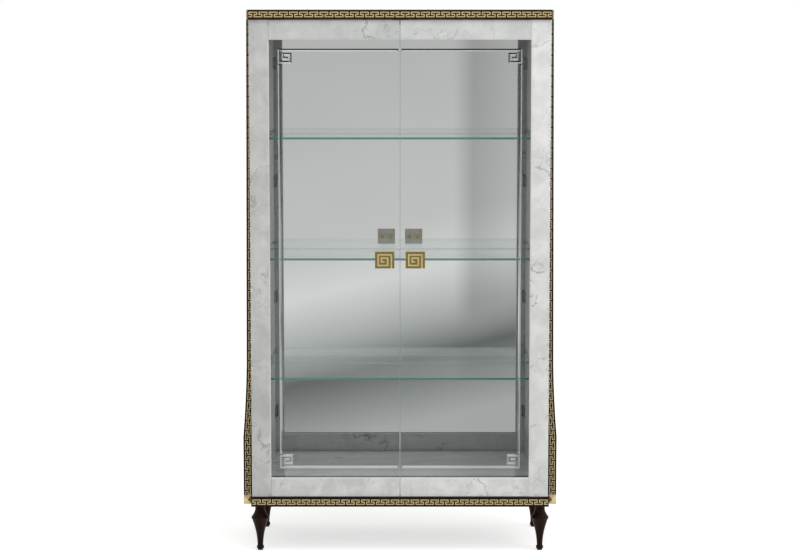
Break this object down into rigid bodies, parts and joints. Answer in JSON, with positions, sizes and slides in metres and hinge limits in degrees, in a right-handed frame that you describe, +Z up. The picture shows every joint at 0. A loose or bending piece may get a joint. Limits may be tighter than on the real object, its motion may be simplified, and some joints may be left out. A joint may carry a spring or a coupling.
{
  "type": "display cabinet",
  "caption": "Tall display cabinet on turned legs: marble-effect framed glass doors with gilt key handles, mirrored back, glass shelves, flared dark sides with gilt meander bands.",
  "frame": {"origin": "on the floor, under the middle of the whole object", "axes": "+Z up, the doors face -Y, +X on the viewer's right"},
  "size_m": [1.134, 0.477, 1.95],
  "materials": {
    "dark_lacquer": "very dark brown gloss lacquer",
    "pale_lacquer": "pale grey satin lacquer",
    "back_board": "plain dark fibreboard",
    "marble_face": "glossy white-grey marble-effect laminate",
    "gilt": "satin champagne gold",
    "clear_glass": "clear polished, engraved",
    "shelf_glass": "clear polished, green at the edges",
    "mirror": "silvered",
    "hinge_steel": "nickel-plated",
    "glide": "matt black"
  },
  "bodies": {
    "carcass": {"back_mirror": "mirror", "back_panel": "back_board", "back_screws": "hinge_steel", "bottom_board": "dark_lacquer", "bottom_fret": "gilt", "bottom_shelf": "shelf_glass", "corner_studs": "gilt", "door_catch": "glide", "floor_liner": "marble_face", "front_left_leg": "dark_lacquer", "front_right_leg": "dark_lacquer", "hinge_arm_screws": "hinge_steel", "left_front_post": "dark_lacquer", "left_hinge_arms": "hinge_steel", "left_inner_side": "pale_lacquer", "left_rear_post": "dark_lacquer", "left_side_fret": "gilt", "left_side_skin": "dark_lacquer", "leg_bolts": "hinge_steel", "leg_glides": "glide", "middle_shelf": "shelf_glass", "rear_left_leg": "dark_lacquer", "rear_right_leg": "dark_lacquer", "right_front_post": "dark_lacquer", "right_hinge_arms": "hinge_steel", "right_inner_side": "pale_lacquer", "right_rear_post": "dark_lacquer", "right_side_fret": "gilt", "right_side_skin": "dark_lacquer", "shelf_pins": "hinge_steel", "top_board": "dark_lacquer", "top_fret": "gilt", "top_shelf": "shelf_glass"},
    "left_door": {"left_door_bottom_rail": "dark_lacquer", "left_door_bottom_rail_face": "marble_face", "left_door_cup_screws": "hinge_steel", "left_door_glass": "clear_glass", "left_door_handle": "gilt", "left_door_handle_studs": "gilt", "left_door_hinge_cups": "hinge_steel", "left_door_hinge_pins": "hinge_steel", "left_door_lining": "marble_face", "left_door_stile": "dark_lacquer", "left_door_stile_face": "marble_face", "left_door_top_rail": "dark_lacquer", "left_door_top_rail_face": "marble_face"},
    "right_door": {"right_door_bottom_rail": "dark_lacquer", "right_door_bottom_rail_face": "marble_face", "right_door_cup_screws": "hinge_steel", "right_door_glass": "clear_glass", "right_door_handle": "gilt", "right_door_handle_studs": "gilt", "right_door_hinge_cups": "hinge_steel", "right_door_hinge_pins": "hinge_steel", "right_door_lining": "marble_face", "right_door_stile": "dark_lacquer", "right_door_stile_face": "marble_face", "right_door_top_rail": "dark_lacquer", "right_door_top_rail_face": "marble_face"}
  },
  "joints": [
    {"name": "left_door_hinge", "type": "hinge", "parent": "carcass", "child": "left_door", "pos_m": [-0.5275, -0.196, 1.0595], "axis": [0, 0, -1], "range_deg": [0, 95]},
    {"name": "right_door_hinge", "type": "hinge", "parent": "carcass", "child": "right_door", "pos_m": [0.5275, -0.196, 1.0595], "axis": [0, 0, 1], "range_deg": [0, 95]}
  ]
}
